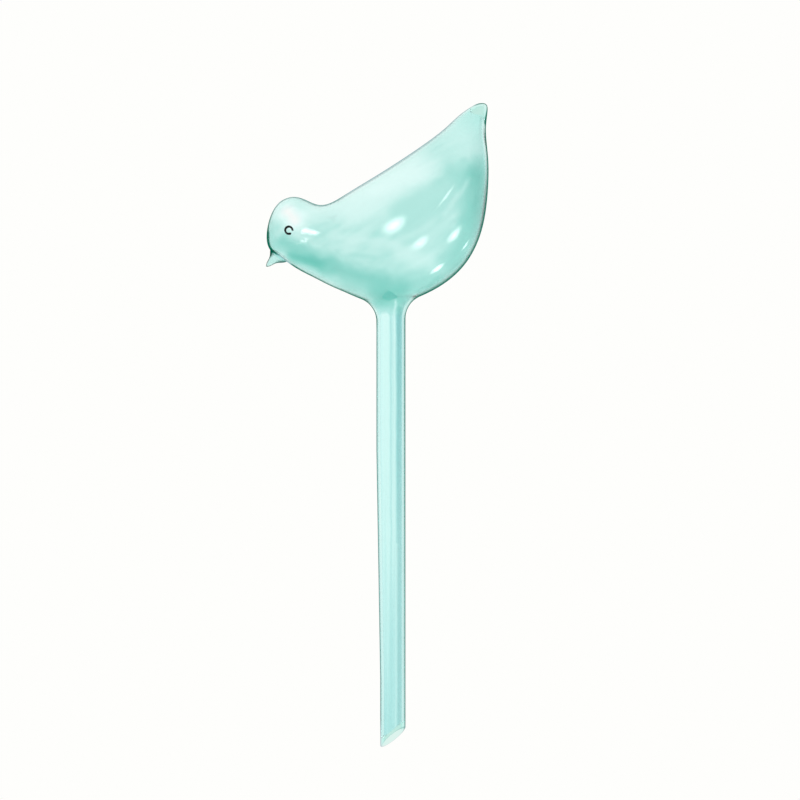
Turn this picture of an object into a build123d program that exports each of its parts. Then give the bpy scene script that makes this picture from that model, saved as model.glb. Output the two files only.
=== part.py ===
from build123d import *

import os
from math import hypot, radians, tan

# A watering globe of tinted glass: a hollow blown bird on a long hollow stem that is pushed into
# the soil. Millimetres. The origin is on the stem's axis, in the plane where the stem is welded
# to the bird's neck. The bird faces -X, its tail rises towards +Z, and the stem runs down to -Z.

# Bird, blown hollow from one gather of glass
body_length = 92.9
body_height = 84.6
body_width = 46.0
body_wall = 1.2
neck_length = 10.5
neck_flare_radius = 10.0

# Tail tip, where the blown shell is pulled off and sealed with a solid end
tail_tip_length = 4.2
tail_tip_angle = 45.0

# Stem, a drawn tube whose back edge stays straight while its front edge draws in
stem_diameter = 12.2
mouth_diameter = 10.6
stem_wall = 1.5
stem_straight_length = 50.3
stem_taper_length = 96.4
mouth_straight_length = 28.4

# Slanted mouth at the stem's foot, lowest at the front and on the bird's left
mouth_slant_angle = 36.9
mouth_side_slant_angle = 18.0
mouth_rim_round = 0.45

# Beak, a solid thorn pulled out hot and stuck on the head
beak_length = 6.2
beak_root_height = 7.8
beak_root_width = 6.4
beak_angle = 45.0

# Eye rings, open strokes of fired enamel that lie on the glass
eye_ring_diameter = 3.0
eye_ring_stroke = 0.75
eye_ring_thickness = 0.25
eye_gap_start_angle = 8.0
eye_gap_angle = 44.0
full_turn = 360.0

# Stations of the bird from breast to tail. Each has its point on the back and its point on the
# belly, as shares of the body's length from the stem's axis and of its height above the belly,
# then its width as a share of the body's width and the share of its height at its widest level.
station_shares = [
    ((-0.553, 0.287), (-0.506, 0.240), 0.26, 0.50),
    ((-0.561, 0.344), (-0.429, 0.183), 0.42, 0.52),
    ((-0.546, 0.431), (-0.348, 0.136), 0.49, 0.54),
    ((-0.501, 0.510), (-0.280, 0.098), 0.55, 0.54),
    ((-0.424, 0.534), (-0.208, 0.063), 0.62, 0.50),
    ((-0.321, 0.495), (-0.113, 0.020), 0.75, 0.46),
    ((-0.203, 0.549), (-0.005, 0.000), 0.89, 0.44),
    ((-0.072, 0.637), (0.117, 0.035), 1.00, 0.43),
    ((0.050, 0.722), (0.221, 0.092), 1.02, 0.42),
    ((0.153, 0.799), (0.312, 0.173), 0.93, 0.42),
    ((0.237, 0.869), (0.377, 0.277), 0.78, 0.43),
    ((0.302, 0.934), (0.420, 0.416), 0.59, 0.45),
    ((0.350, 0.973), (0.438, 0.575), 0.41, 0.48),
    ((0.384, 0.994), (0.438, 0.738), 0.26, 0.50),
    ((0.411, 1.000), (0.429, 0.882), 0.15, 0.50),
]
breast_end_share = (-0.536, 0.261)
tail_end_share = (0.436, 0.979)

# Places on the bird, in the same shares of its length and height
beak_root_share = (-0.516, 0.241)
eye_share = (-0.461, 0.370)

# Beak sections from root to tip: distance from the tip as a share of the beak's length, and
# height and width as shares of the root's. The first one lies inside the head.
beak_section_shares = [(1.40, 1.30), (1.00, 0.98), (0.72, 0.58), (0.36, 0.33), (0.06, 0.09)]


def side_point(share):
    """A point in the bird's middle plane from its shares of the length and the height."""
    return Vector(body_length * share[0], 0, neck_length + body_height * share[1])


breast_end = side_point(breast_end_share)
tail_end = side_point(tail_end_share)
back_line = [breast_end] + [side_point(station[0]) for station in station_shares] + [tail_end]
belly_line = [breast_end] + [side_point(station[1]) for station in station_shares] + [tail_end]


def square_offset(line, index, distance):
    """A point of a line, moved square to the line's run, to the left of it as seen from -Y."""
    run = (line[index + 1] - line[index - 1]).normalized()
    return line[index] + Vector(-run.Z, 0, run.X) * distance


def station_face(index, grow):
    """One egg-shaped cross-section of the bird, grown or shrunk square to its outline."""
    width_share, level_share = station_shares[index - 1][2:]
    back = square_offset(back_line, index, grow)
    belly = square_offset(belly_line, index, -grow)
    height = (back - belly).length
    upward = (back - belly).normalized()
    widest = belly + upward * (height * level_share)
    half_width = body_width * width_share / 2 + grow
    plane = Plane(origin=widest, x_dir=upward, z_dir=upward.cross(Vector(0, 1, 0)))
    upper = EllipticalCenterArc((0, 0), height * (1 - level_share), half_width, -90, arc_size=180)
    lower = EllipticalCenterArc((0, 0), height * level_share, half_width, 90, arc_size=180)
    return plane.location * Face(Wire(upper.edges() + lower.edges()))


def blown_form(grow, last_station, end):
    """The bird's form without its neck, lofted from the breast to a point at the tail."""
    stations = [station_face(index, grow) for index in range(1, last_station + 1)]
    inward = (stations[0].center() - breast_end).normalized()
    return loft([Vertex(*(breast_end - inward * grow))] + stations + [Vertex(*end)])


def with_neck(form, radius, flare):
    """A blown form joined to the neck's cylinder through a trumpet flare."""
    neck = extrude(Plane.XY * Circle(radius), amount=form.center().Z)
    joined = form + neck
    return fillet(new_edges(form, neck, combined=joined), flare)


def tube_form(inset):
    """The stem before its mouth is cut: its outside, or its bore where the inset is the wall."""
    radius = stem_diameter / 2 - inset
    foot_radius = mouth_diameter / 2 - inset
    straight = extrude(Plane.XY * Circle(radius), amount=-stem_straight_length)
    taper = loft([taper_plane * Circle(radius), foot_plane * Circle(foot_radius)], ruled=True)
    foot = extrude(foot_plane * Circle(foot_radius), amount=-mouth_straight_length)
    return straight + taper + foot


def beak_section(distance_share, size_share):
    """One oval section of the beak, square to its axis."""
    place = beak_tip - beak_direction * (beak_length * distance_share)
    plane = Plane(origin=place, x_dir=(0, 1, 0), z_dir=beak_direction)
    return plane * Ellipse(beak_root_width * size_share / 2, beak_root_height * size_share / 2)


def eye_ring(skin, side):
    """One open enamel stroke cut from the skin of enamel, on the side given as -1 or 1."""
    start = -eye_gap_start_angle - eye_gap_angle
    stroke = SlotArc(
        CenterArc((0, 0), eye_ring_diameter / 2, start, eye_gap_angle - full_turn), eye_ring_stroke
    )
    eye_plane = Plane(origin=side_point(eye_share), x_dir=(1, 0, 0), z_dir=(0, -1, 0))
    return extrude(eye_plane * stroke, amount=-side * body_width) & skin


# Bird: its outside and its cavity, both open into the neck
outer_form = blown_form(0, len(station_shares), tail_end)
bird_outside = with_neck(outer_form, stem_diameter / 2, neck_flare_radius)
cavity_end = (back_line[-2] + belly_line[-2]) / 2
cavity_form = blown_form(-body_wall, len(station_shares) - 1, cavity_end)
cavity = with_neck(cavity_form, stem_diameter / 2 - stem_wall, neck_flare_radius + body_wall)

# The shell is cut where its tail was pulled off, and the solid tip closes it there
tail_slope = tan(radians(tail_tip_angle))
tail_direction = Vector(1, 0, tail_slope).normalized()
tip_plane = Plane(origin=tail_end - tail_direction * tail_tip_length, z_dir=tail_direction)
bird_body = split(bird_outside, tip_plane, Keep.BOTTOM) - cavity
tail_tip = split(bird_outside, tip_plane, Keep.TOP)

# Stem: its axis moves back along the taper by as much as its radius draws in
mouth_shift = (stem_diameter - mouth_diameter) / 2
taper_plane = Plane.XY.offset(-stem_straight_length)
foot_plane = Plane(origin=(mouth_shift, 0, -stem_straight_length - stem_taper_length))
mouth_slope = tan(radians(mouth_slant_angle))
mouth_side_slope = tan(radians(mouth_side_slant_angle))
mouth_dip = mouth_diameter / 2 * hypot(mouth_slope, mouth_side_slope)
mouth_centre = foot_plane.origin + Vector(0, 0, mouth_dip - mouth_straight_length)
mouth_plane = Plane(origin=mouth_centre, z_dir=(-mouth_slope, -mouth_side_slope, 1))
cut_tube = split(tube_form(0) - tube_form(stem_wall), mouth_plane, Keep.TOP)
mouth_rim = cut_tube.faces().filter_by(Axis(mouth_centre, mouth_plane.z_dir)).edges()
stem_tube = fillet(mouth_rim, min(mouth_rim_round, stem_wall / 3))

# Beak, lofted to a point and cut to seat on the head
beak_slope = tan(radians(beak_angle))
beak_direction = Vector(-1, 0, -beak_slope).normalized()
beak_tip = side_point(beak_root_share) + beak_direction * beak_length
beak_sections = [beak_section(*shares) for shares in beak_section_shares]
beak = loft(beak_sections + [Vertex(*beak_tip)]) - outer_form

# Eye rings
enamel_skin = blown_form(eye_ring_thickness, len(station_shares), tail_end) - outer_form

nodes = {
    "bird_body": bird_body,
    "tail_tip": tail_tip,
    "stem_tube": stem_tube,
    "beak": beak,
    "left_eye_ring": eye_ring(enamel_skin, -1),
    "right_eye_ring": eye_ring(enamel_skin, 1),
}
os.makedirs("parts", exist_ok=True)
for name, solid in nodes.items():
    export_step(solid, f"parts/{name}.step")
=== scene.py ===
import logging
import math
from dataclasses import dataclass, field
from enum import Enum
from typing import Any, Callable

import bmesh
import bpy
import numpy as np
from mathutils import Matrix, Vector
from mathutils.bvhtree import BVHTree


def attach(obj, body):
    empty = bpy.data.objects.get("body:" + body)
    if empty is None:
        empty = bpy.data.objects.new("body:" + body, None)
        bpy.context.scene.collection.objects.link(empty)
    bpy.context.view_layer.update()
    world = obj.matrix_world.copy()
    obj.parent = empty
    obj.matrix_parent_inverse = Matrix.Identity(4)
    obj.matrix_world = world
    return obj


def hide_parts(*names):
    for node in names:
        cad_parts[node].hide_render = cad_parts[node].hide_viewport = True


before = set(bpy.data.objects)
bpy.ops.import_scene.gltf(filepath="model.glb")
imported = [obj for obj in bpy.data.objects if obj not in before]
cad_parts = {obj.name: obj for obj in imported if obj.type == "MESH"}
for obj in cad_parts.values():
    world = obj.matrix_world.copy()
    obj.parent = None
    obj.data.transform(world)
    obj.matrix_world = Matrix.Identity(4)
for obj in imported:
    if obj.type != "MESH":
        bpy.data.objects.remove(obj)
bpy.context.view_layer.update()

# A watering globe: a bird of tinted glass blown hollow, with a flared neck, a pulled tail and a
# pulled beak, welded to a drawn glass stem. The sizes below are in millimetres, and MM turns them
# into the scene's metres.

MM = 0.001
LOG = logging.getLogger("watering_globe")

# Attributes on the glass: a point's outward direction without its welds, how far it lies outside
# the beak's seat, and whether it lies on the inside wall
KEPT, SEAT, BORE = "kept_direction", "beak_seat", "inside_wall"

# Small steps that the bird's slopes are read over, along it in millimetres and round it in
# radians, and how often a place under it and a height of its flare are brought nearer
ALONG, ROUND = 0.01, 0.001
NEARER, HALVINGS = 12, 30

# How near points of one place are, in metres, how near the weld's level its faces are, and the
# digits that a place is looked up by
SAME_PLACE, SAME_LEVEL, SAME_DIGITS = 1e-7, 1e-6, 9

Array = np.ndarray
Mesh = bmesh.types.BMesh
Material = bpy.types.Material
Piece = bpy.types.Object
Socket = bpy.types.NodeSocket
Tree = bpy.types.NodeTree


class Side(Enum):
    """The bird's two sides, with the sign of Y that each one has."""

    LEFT = -1
    RIGHT = 1


class Joint(Enum):
    """The kinds of face that a glass piece has, with the index of each one's material."""

    SKIN = 0
    WELD = 1


def linear(code: str) -> tuple[float, float, float, float]:
    """Turn an sRGB hex colour into Blender's linear colour.

    Args:
        code: Six hex digits, with or without the hash.

    Returns:
        Linear red, green and blue, and full alpha.
    """
    shares = [int(code.lstrip("#")[place:place + 2], 16) / 255 for place in (0, 2, 4)]
    red, green, blue = (share / 12.92 if share <= 0.04045 else ((share + 0.055) / 1.055) ** 2.4
                        for share in shares)
    return red, green, blue, 1.0


def add_node(tree: Tree, kind: str, feeds: dict | tuple = (), **settings: Any) -> bpy.types.Node:
    """Add a node to a tree with its settings, input values and links.

    Args:
        tree: The shader or geometry tree.
        kind: Blender's name of the node's type, less the GeometryNode or ShaderNode it starts with.
        feeds: What feeds its inputs, by name, or in the order in which its settings show them.
            It is a value, an output, or a node, which stands for the first output it shows.
        **settings: The node's own settings.

    Returns:
        The new node.
    """
    families = (tree.bl_idname.removesuffix("Tree"), "ShaderNode", "")
    made = tree.nodes.new(next(first + kind for first in families if hasattr(bpy.types, first + kind)))
    for name, value in settings.items():
        setattr(made, name, value)
    if not isinstance(feeds, dict):
        shown = [place for place, socket in enumerate(made.inputs) if socket.enabled]
        feeds = dict(zip(shown, feeds))
    for place, source in feeds.items():
        if isinstance(source, bpy.types.Node):
            source = next(output for output in source.outputs if output.enabled)
        if isinstance(source, Socket):
            tree.links.new(source, made.inputs[place])
        else:
            made.inputs[place].default_value = source
    return made


def emptied(owner: bpy.types.ID) -> Tree:
    """Give a material, a world or a lamp an empty tree of nodes, and return the tree.

    Args:
        owner: What the tree belongs to.

    Returns:
        The tree.
    """
    owner.use_nodes = True
    owner.node_tree.nodes.clear()
    return owner.node_tree


def add_object(name: str, data: bpy.types.ID) -> Piece:
    """Add an object to the scene.

    Args:
        name: Its name.
        data: Its mesh, lamp or camera.

    Returns:
        The object, at the origin.
    """
    made = bpy.data.objects.new(name, data)
    bpy.context.scene.collection.objects.link(made)
    return made


def written(made: Mesh, name: str) -> bpy.types.Mesh:
    """Write an edited mesh out and use it up.

    Args:
        made: The edited mesh.
        name: The name of what is written.

    Returns:
        The plain mesh.
    """
    data = bpy.data.meshes.new(name)
    made.to_mesh(data)
    made.free()
    return data


def joined(made: Mesh, data: bpy.types.Mesh) -> Mesh:
    """Add a plain mesh to an edited one and use it up.

    Args:
        made: The edited mesh.
        data: The plain mesh.

    Returns:
        The edited mesh.
    """
    made.from_mesh(data)
    bpy.data.meshes.remove(data)
    return made


def smoothstep(place: Array, span: tuple[float, float]) -> Array:
    """Rise softly from 0 to 1 over a span.

    Args:
        place: The places to read the rise at.
        span: Where it starts and stops.

    Returns:
        The share at each place.
    """
    share = np.clip((place - span[0]) / (span[1] - span[0]), 0, 1)
    return share ** 2 * (3 - 2 * share)


def round_axis(reach: Array, angle: Array, height: Array) -> Array:
    """Lay points round the stem's axis.

    Args:
        reach: Distances from the axis.
        angle: Angles round the axis.
        height: Heights above the weld.

    Returns:
        Rows of x, y and z.
    """
    return np.stack([reach * np.cos(angle), reach * np.sin(angle), height], axis=-1)


class Curve:
    """A smooth cubic line through values at given places, with a continuous curvature."""

    def __init__(self, places: Array, values: Array) -> None:
        """Fit the line.

        Args:
            places: The rising places of the values.
            values: One row of numbers for each place.
        """
        steps = np.diff(places)
        slopes = np.diff(values, axis=0) / steps[:, None]
        system, right = np.eye(len(places)), np.zeros_like(values)
        for row in range(1, len(places) - 1):
            before, after = steps[row - 1:row + 1]
            system[row, row - 1:row + 2] = before, 2 * (before + after), after
            right[row] = 6 * (slopes[row] - slopes[row - 1])
        self.places, self.values, self.bends = places, values, np.linalg.solve(system, right)

    def at(self, place: Array) -> Array:
        """Read the line.

        Args:
            place: The places to read it at.

        Returns:
            One row of numbers for each place.
        """
        spot = np.clip(np.searchsorted(self.places, place) - 1, 0, len(self.places) - 2)
        step = (self.places[spot + 1] - self.places[spot])[:, None]
        ahead = (self.places[spot + 1] - place)[:, None] / step
        behind = 1 - ahead
        bend = (ahead ** 3 - ahead) * self.bends[spot] + (behind ** 3 - behind) * self.bends[spot + 1]
        return ahead * self.values[spot] + behind * self.values[spot + 1] + bend * step ** 2 / 6


class Patchwork:
    """Points and quads that are gathered patch by patch and then welded into one mesh."""

    def __init__(self) -> None:
        """Start with no points."""
        self.points: list[Array] = []
        self.faces: list[list[int]] = []
        self.count = 0

    def add_points(self, points: Array) -> Array:
        """Add points.

        Args:
            points: Rows of x, y and z in millimetres, in an array of any shape.

        Returns:
            The index of each point, in the same shape.
        """
        flat = points.reshape(-1, 3)
        self.points.append(flat)
        places = np.arange(self.count, self.count + len(flat)).reshape(points.shape[:-1])
        self.count += len(flat)
        return places

    def add_grid(self, places: Array, keep: Array | None = None) -> None:
        """Add quads between the rows of a grid that closes on itself along its rows.

        Args:
            places: Point indices, one row for each ring.
            keep: Which quads to add, or None for all.
        """
        after = np.roll(places, -1, axis=1)
        quads = np.stack([places[:-1], after[:-1], after[1:], places[1:]], axis=-1)
        kept = quads.reshape(-1, 4) if keep is None else quads[keep]
        self.faces.extend(kept.tolist())

    def add_fan(self, ring: Array, pole: Array) -> None:
        """Close a ring with triangles to one point.

        Args:
            ring: The ring's point indices.
            pole: The point, in millimetres.
        """
        tip = int(self.add_points(pole.reshape(1, 3))[0])
        self.faces.extend([int(a), int(b), tip] for a, b in zip(ring, np.roll(ring, -1)))

    def mesh(self) -> Mesh:
        """Weld the patches where they meet.

        Returns:
            The mesh in metres, with no loose points.
        """
        data = bpy.data.meshes.new("patchwork")
        data.from_pydata((np.concatenate(self.points) * MM).tolist(), [], self.faces)
        made = joined(bmesh.new(), data)
        bmesh.ops.remove_doubles(made, verts=made.verts, dist=SAME_PLACE)
        loose = [point for point in made.verts if not point.link_faces]
        bmesh.ops.delete(made, geom=loose, context="VERTS")
        return made


def turn_out(made: Mesh) -> None:
    """Turn a closed mesh's faces outwards.

    Args:
        made: The mesh.
    """
    bmesh.ops.recalc_face_normals(made, faces=made.faces)
    if made.calc_volume(signed=True) < 0:
        bmesh.ops.reverse_faces(made, faces=made.faces)


def mark_bore(made: Mesh, inside: Callable[[Vector], bool]) -> None:
    """Mark which points lie on the glass's inside wall.

    Args:
        made: The mesh, which gets a layer that is 1 on the inside wall and 0 elsewhere.
        inside: Tells whether a place in metres lies on the inside wall.
    """
    layer = made.verts.layers.float.new(BORE)
    for point in made.verts:
        point[layer] = float(inside(point.co))


def keep_directions(made: Mesh) -> None:
    """Keep each point's outward direction as its glass faces give it, without its welds' faces.

    Args:
        made: The mesh, with its faces outwards.
    """
    layer = made.verts.layers.float_vector.new(KEPT)
    for point in made.verts:
        total = Vector()
        for face in point.link_faces:
            if face.material_index == Joint.SKIN.value:
                total += face.normal * face.calc_area()
        point[layer] = total.normalized()


def finished(made: Mesh, name: str) -> Piece:
    """Turn a closed mesh into a smooth object with its faces outwards.

    Args:
        made: The mesh in metres, which is used up. Where it keeps its points' own outward
            directions, it is shaded by them, so that nothing shows across a weld.
        name: The piece's name.

    Returns:
        The object, at the origin.
    """
    layer = made.verts.layers.float_vector.get(KEPT)
    directions = [tuple(point[layer]) for point in made.verts] if layer else []
    if layer:
        made.verts.layers.float_vector.remove(layer)
    else:
        turn_out(made)
    for item in (*made.faces, *made.edges):
        item.smooth = True
    data = written(made, name)
    if directions:
        data.normals_split_custom_set_from_vertices(directions)
    return add_object(name, data)


@dataclass(frozen=True)
class Sweep:
    """A soft stroke in the glass, seen from the side, where its tint is deeper or paler.

    The ends are millimetres along the body from the stem's axis and up from the weld. The depth
    is the tint in the middle of the stroke, from 0, pale, to 1, deep, or a little past either. The
    weight says how much of what lies under the stroke it covers, the core is how far out it stays
    full, and the fade is the share of its weight that it loses by its finish.
    """

    start: tuple[float, float]
    finish: tuple[float, float]
    reach: float
    depth: float
    weight: float = 1.0
    core: float = 0.0
    fade: float = 0.0


@dataclass(frozen=True)
class Grain:
    """The fine streaks of drawn glass: their width, how much longer they run, their turn from
    level, the tint between and in them, and how many finer streaks lie in each."""

    size: float
    stretch: float
    degrees: float
    tints: tuple[float, float]
    detail: float = 3.0


@dataclass(frozen=True)
class TealGlass:
    """Soda-lime glass tinted in the melt, mouth-blown and fire-polished.

    It is clear and glossy. The tint deepens at the neck, the lower breast and the rump, partly
    where the wall stays thick and partly as painted shade, and its strokes paint pale and dark
    bands down the stem as painted reflections and refraction bands. Fine streaks run the way the
    gather was drawn out. At grazing angles a darker outline is painted on as painted edge shade,
    a see-through edge colour in place of what the glass would refract there, and it is broader
    where the wall is pinched. At the mouth's rim and the tail's last millimetres the light goes
    through unbent, as a pale ground: there two close walls would bend it so often that they came
    out black.

    The rims say where the outline begins and is full, from 0, facing the eye, to 1, edge on. The
    wavers are how far the strokes stray, in millimetres. Below the levels of drawn_below the
    glass is the drawn stem's, and above them the blown bird's.
    """

    pale: str = "#F2FFFE"
    deep: str = "#A5E2DB"
    drawn_deep: str = "#A9DFE1"
    # Painted edge shade: the see-through colours of the darker outline at grazing angles, pale and deep.
    edge_shade_pale: str = "#D9DFE2"
    edge_shade_deep: str = "#74B2A7"
    ground: str = "#F2FAF8"
    blown_rim: tuple[float, float] = (0.62, 0.84)
    drawn_rim: tuple[float, float] = (0.48, 0.74)
    ior: float = 1.5
    roughness: float = 0.05
    absorption: str = "#22FAF3"
    density: float = 52.0
    blown_grain: Grain = Grain(4.0, 6.0, 32.0, (0.16, 0.50))
    drawn_grain: Grain = Grain(1.3, 60.0, 90.0, (-0.12, 0.46))
    grain_span: tuple[float, float] = (0.25, 0.75)
    drawn_below: tuple[float, float] = (3.0, 11.0)
    waver_size: float = 9.0
    blown_waver: float = 6.0
    drawn_waver: float = 0.8
    # Strokes of the tint: in part a deeper tint where the wall stays thick, in part painted shade, as in
    # the dark band along the lower breast and the dark lines near the edges, and in part pale strokes that
    # paint light.
    sweeps: tuple[Sweep, ...] = (
        Sweep((-14.0, 55.0), (10.0, 66.0), 17.0, 0.0),
        Sweep((-34.0, 50.0), (-12.0, 53.0), 9.0, 0.06, 0.9),
        Sweep((22.0, 86.0), (34.0, 80.0), 15.0, 0.15, 0.8),
        Sweep((6.0, 48.5), (41.0, 66.5), 10.5, 0.44, 0.85, 3.5),
        Sweep((37.0, 64.0), (36.0, 46.0), 11.0, 0.83),
        Sweep((26.5, 65.5), (33.0, 58.0), 6.0, 0.62, 0.6),
        Sweep((36.0, 46.0), (27.0, 28.0), 9.5, 0.72, 0.85),
        Sweep((-18.0, 18.0), (24.0, 18.0), 9.0, 0.62, 0.92),
        Sweep((-39.0, 31.5), (-25.0, 26.5), 6.5, 1.05),
        Sweep((-25.0, 26.5), (-4.0, 20.0), 6.5, 0.8, 0.95),
        Sweep((-5.0, 14.0), (4.0, 15.0), 8.0, 0.95, 0.85),
        Sweep((-46.0, 37.0), (-37.0, 34.0), 5.0, 0.75, 0.9),
        Sweep((-52.0, 44.0), (-49.5, 35.0), 3.5, 0.6, 0.8),
        Sweep((-44.0, 49.5), (-40.5, 46.5), 8.0, -0.25, 0.95),
        Sweep((4.0, 33.0), (16.0, 28.0), 6.0, 0.12, 0.7),
        Sweep((12.0, 14.0), (23.0, 19.8), 2.4, 1.15, 0.9, 1.0),
        Sweep((23.0, 19.8), (33.0, 30.0), 2.4, 1.15, 0.9, 1.0, 0.6),
        Sweep((20.0, 62.0), (31.0, 71.0), 3.5, 0.55, 0.45),
        Sweep((22.0, 48.0), (33.0, 62.0), 2.2, 0.12, 0.4),
        Sweep((-24.0, 40.0), (2.0, 36.0), 4.0, 0.12, 0.5),
        Sweep((-34.0, 33.0), (-8.0, 30.0), 3.0, 0.62, 0.4),
        Sweep((0.5, -185.0), (0.5, -85.0), 9.0, 0.5, 0.8, 5.0, 1.0),
        # The narrow pale and dark strokes down the stem: painted refraction bands and painted reflections
        # of the tube, not streaks in its glass.
        Sweep((3.6, 9.0), (3.4, -165.0), 1.9, 0.8, 0.9, 0.6, 0.9),
        Sweep((5.3, 9.0), (5.3, -150.0), 0.9, 0.6, 0.8, 0.3, 0.3),
        Sweep((-2.6, 5.0), (-2.2, -165.0), 3.0, -0.05, 0.85, 1.4, 1.0),
        Sweep((1.7, 12.0), (1.8, -90.0), 0.9, 0.0, 0.8, 0.0, 0.6),
        Sweep((-0.1, 9.0), (0.0, -170.0), 0.8, 0.5, 0.5, 0.0, 0.3),
        Sweep((2.4, -90.0), (2.2, -180.0), 0.9, 0.0, 0.6, 0.0, 0.3),
    )
    edge_shade_depth: float = 1.0
    # Strokes of the painted edge shade, where the outline is deeper or paler.
    edge_shade_sweeps: tuple[Sweep, ...] = (
        Sweep((-24.0, 54.0), (30.0, 92.0), 11.0, 0.0, 1.0, 3.0),
        Sweep((-46.0, 56.0), (-26.0, 54.0), 10.0, 0.35, 0.95, 3.0),
        Sweep((-52.5, 43.0), (-48.5, 34.0), 4.5, 1.25, 1.0, 2.0),
        Sweep((-46.0, 31.0), (-43.0, 28.5), 3.0, -0.1, 1.0, 0.5),
        Sweep((0.0, -10.0), (0.0, -180.0), 16.0, 0.85, 1.0, 8.0),
        Sweep((-6.5, -2.0), (-5.5, -180.0), 5.0, 0.5, 1.0, 2.0),
        Sweep((0.0, -174.0), (0.0, -182.0), 14.0, -0.1, 1.0, 4.0),
        Sweep((39.5, 94.5), (40.5, 88.0), 3.0, 1.1, 0.8, 1.2),
    )
    unbent: tuple[Sweep, ...] = (
        Sweep((-4.6, -177.0), (7.0, -168.2), 4.4, 1.0, 1.0, 3.9),
        Sweep((36.0, 94.5), (40.5, 91.5), 3.6, 1.0, 1.0, 3.0),
    )
    # Where the painted edge shade reaches further in from the edge.
    broad_edge_shade: tuple[Sweep, ...] = (
        Sweep((-52.5, 39.0), (-49.5, 34.5), 4.5, 0.15, 1.0, 1.0),
        Sweep((38.5, 95.5), (40.5, 89.0), 4.5, 0.2, 1.0, 2.0),
    )

    def add_sweeps(self, tree: Tree, flat: Any, depth: Any, sweeps: tuple[Sweep, ...]) -> Any:
        """Add the nodes that lay soft strokes over a depth.

        Args:
            tree: The material's tree.
            flat: The node with the place in the bird's middle plane.
            depth: The depth below the strokes, as a value or a node.
            sweeps: The strokes, each one over those before it.

        Returns:
            The node with the depth, or the value itself where there are no strokes.
        """
        for sweep in sweeps:
            start = Vector((sweep.start[0], 0, sweep.start[1])) * MM
            run = Vector((sweep.finish[0], 0, sweep.finish[1])) * MM - start
            away = add_node(tree, "VectorMath", (flat, start), operation="SUBTRACT")
            along = add_node(tree, "VectorMath", (away, run / run.length_squared),
                             operation="DOT_PRODUCT")
            share = add_node(tree, "Clamp", (along,))
            nearest = add_node(tree, "VectorMath", (run, share), operation="SCALE")
            gap = add_node(tree, "VectorMath", (away, nearest), operation="DISTANCE")
            weight = add_node(tree, "MapRange", (
                share, 0.0, 1.0, sweep.weight, sweep.weight * (1 - sweep.fade)))
            cover = add_node(tree, "MapRange", (
                gap, sweep.core * MM, sweep.reach * MM, weight, 0.0), interpolation_type="SMOOTHSTEP")
            depth = add_node(tree, "Mix", (cover, depth, sweep.depth))
        return depth

    def add_grain(self, tree: Tree, place: Socket, grain: Grain) -> bpy.types.Node:
        """Add the nodes of one grain.

        Args:
            tree: The material's tree.
            place: The output with the place.
            grain: The grain.

        Returns:
            The node with its tint.
        """
        run = add_node(tree, "Mapping", {
            "Vector": place, "Rotation": (0, -math.radians(grain.degrees), 0),
            "Scale": (grain.stretch, 1.0, 1.0)}, vector_type="TEXTURE")
        noise = add_node(tree, "TexNoise", {
            "Vector": run, "Scale": 1 / (grain.size * MM), "Detail": grain.detail})
        return add_node(tree, "MapRange", (noise, *self.grain_span, *grain.tints))

    def add_depths(self, tree: Tree) -> dict[str, Any]:
        """Add the nodes that work out where the glass is deep, outlined and clear.

        Args:
            tree: The material's tree.

        Returns:
            The depth of the tint and of the outline, from 0 to 1, the share of the light that
            goes through unbent, how much broader the outline is, and what is 0 on the drawn stem
            and 1 on the blown bird, each as a node or a value.
        """
        place = add_node(tree, "TexCoord").outputs["Object"]
        level = add_node(tree, "SeparateXYZ", (place,)).outputs["Z"]
        blown = add_node(tree, "MapRange", (
            level, self.drawn_below[0] * MM, self.drawn_below[1] * MM), interpolation_type="SMOOTHSTEP")
        cloud = add_node(tree, "TexNoise", {
            "Vector": place, "Scale": 1 / (self.waver_size * MM)}).outputs["Color"]
        centred = add_node(tree, "VectorMath", (cloud, (0.5, 0.5, 0.5)), operation="SUBTRACT")
        waver = add_node(tree, "Mix", (blown, self.drawn_waver * MM, self.blown_waver * MM))
        warped = add_node(tree, "VectorMath", (centred, waver, place), operation="MULTIPLY_ADD")
        flat = add_node(tree, "VectorMath", (warped, (1.0, 0.0, 1.0)), operation="MULTIPLY")
        drawn, own = (self.add_grain(tree, place, grain) for grain in (self.drawn_grain, self.blown_grain))
        base = add_node(tree, "Mix", (blown, drawn, own))
        # The outline and broad layers are painted edge shade; the tint layer holds painted shade and light
        # besides the glass's tint.
        layers = (("tint", base, self.sweeps), ("outline", self.edge_shade_depth, self.edge_shade_sweeps),
                  ("unbent", 0.0, self.unbent), ("broad_edge_shade", 0.0, self.broad_edge_shade))
        return {"blown": blown, **{name: self.add_sweeps(tree, flat, depth, sweeps)
                                   for name, depth, sweeps in layers}}

    def add_melt(self, tree: Tree) -> bpy.types.Node:
        """Add the even tint of the melt, which deepens with the way light goes through it.

        Args:
            tree: The material's tree.

        Returns:
            The volume's node.
        """
        return add_node(tree, "VolumeAbsorption", {
            "Color": linear(self.absorption), "Density": self.density})

    def make(self, name: str) -> Material:
        """Build the glass.

        Args:
            name: The material's name.

        Returns:
            The material.
        """
        material = bpy.data.materials.new(name)
        tree = emptied(material)
        depths = self.add_depths(tree)
        blown = depths["blown"]
        deep = add_node(tree, "Mix", (blown, linear(self.drawn_deep), linear(self.deep)),
                        data_type="RGBA")
        # The tint that the strokes set: glass tint with painted shade and painted light in it.
        tint = add_node(tree, "Mix", (depths["tint"], linear(self.pale), deep),
                        data_type="RGBA", clamp_factor=False)
        glass = add_node(tree, "BsdfPrincipled", {
            "Base Color": tint, "Roughness": self.roughness, "IOR": self.ior, "Transmission Weight": 1.0})
        ground = add_node(tree, "BsdfTransparent", (linear(self.ground),))
        inner = add_node(tree, "MixShader", (depths["unbent"], glass, ground))
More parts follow.
